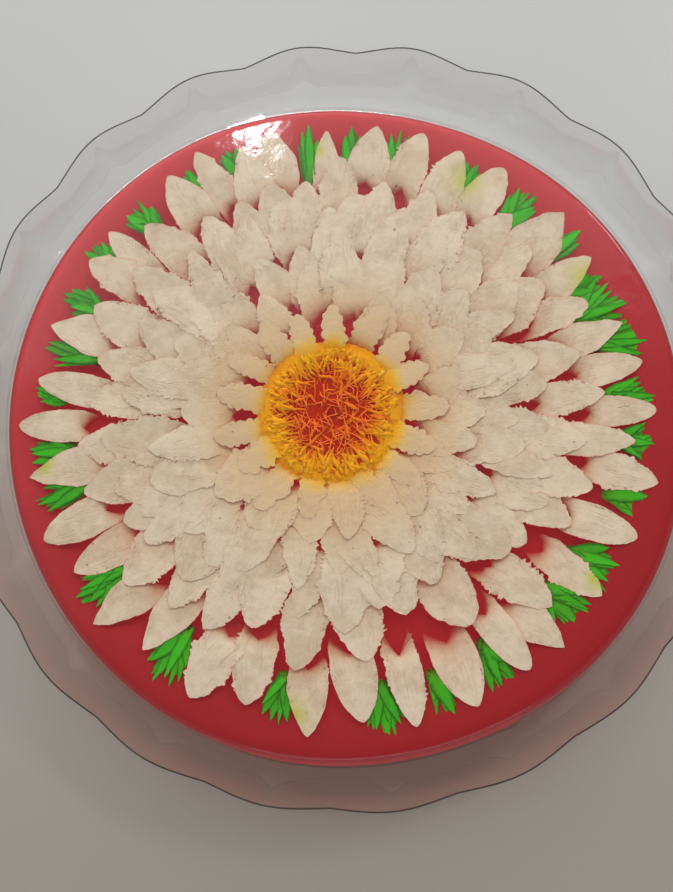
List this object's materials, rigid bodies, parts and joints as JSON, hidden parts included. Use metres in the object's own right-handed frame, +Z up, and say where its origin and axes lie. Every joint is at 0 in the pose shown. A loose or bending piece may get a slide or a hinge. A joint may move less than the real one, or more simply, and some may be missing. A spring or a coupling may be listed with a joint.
{
  "type": "moulded jelly on its plate",
  "caption": "Round red moulded jelly with a flower of cream petals set in it, on a clear plate with a scalloped rim.",
  "frame": {"origin": "middle of the plate's flat underside", "axes": "+Z up through the plate's middle; -Y towards the side that the jelly stands nearer to"},
  "size_m": [0.3118, 0.3118, 0.038],
  "materials": {
    "clear_plastic": "clear, polished, faintly smoky",
    "red_jelly": "wet, glossy, translucent red jelly",
    "milk_jelly": "opaque cream milk jelly with bubbles and ragged edges",
    "green_jelly": "opaque bright green jelly, darker where it sinks",
    "yellow_jelly": "opaque orange-yellow jelly threads"
  },
  "bodies": {
    "root": {"plate": "clear_plastic", "jelly": "red_jelly"}
  },
  "joints": []
}
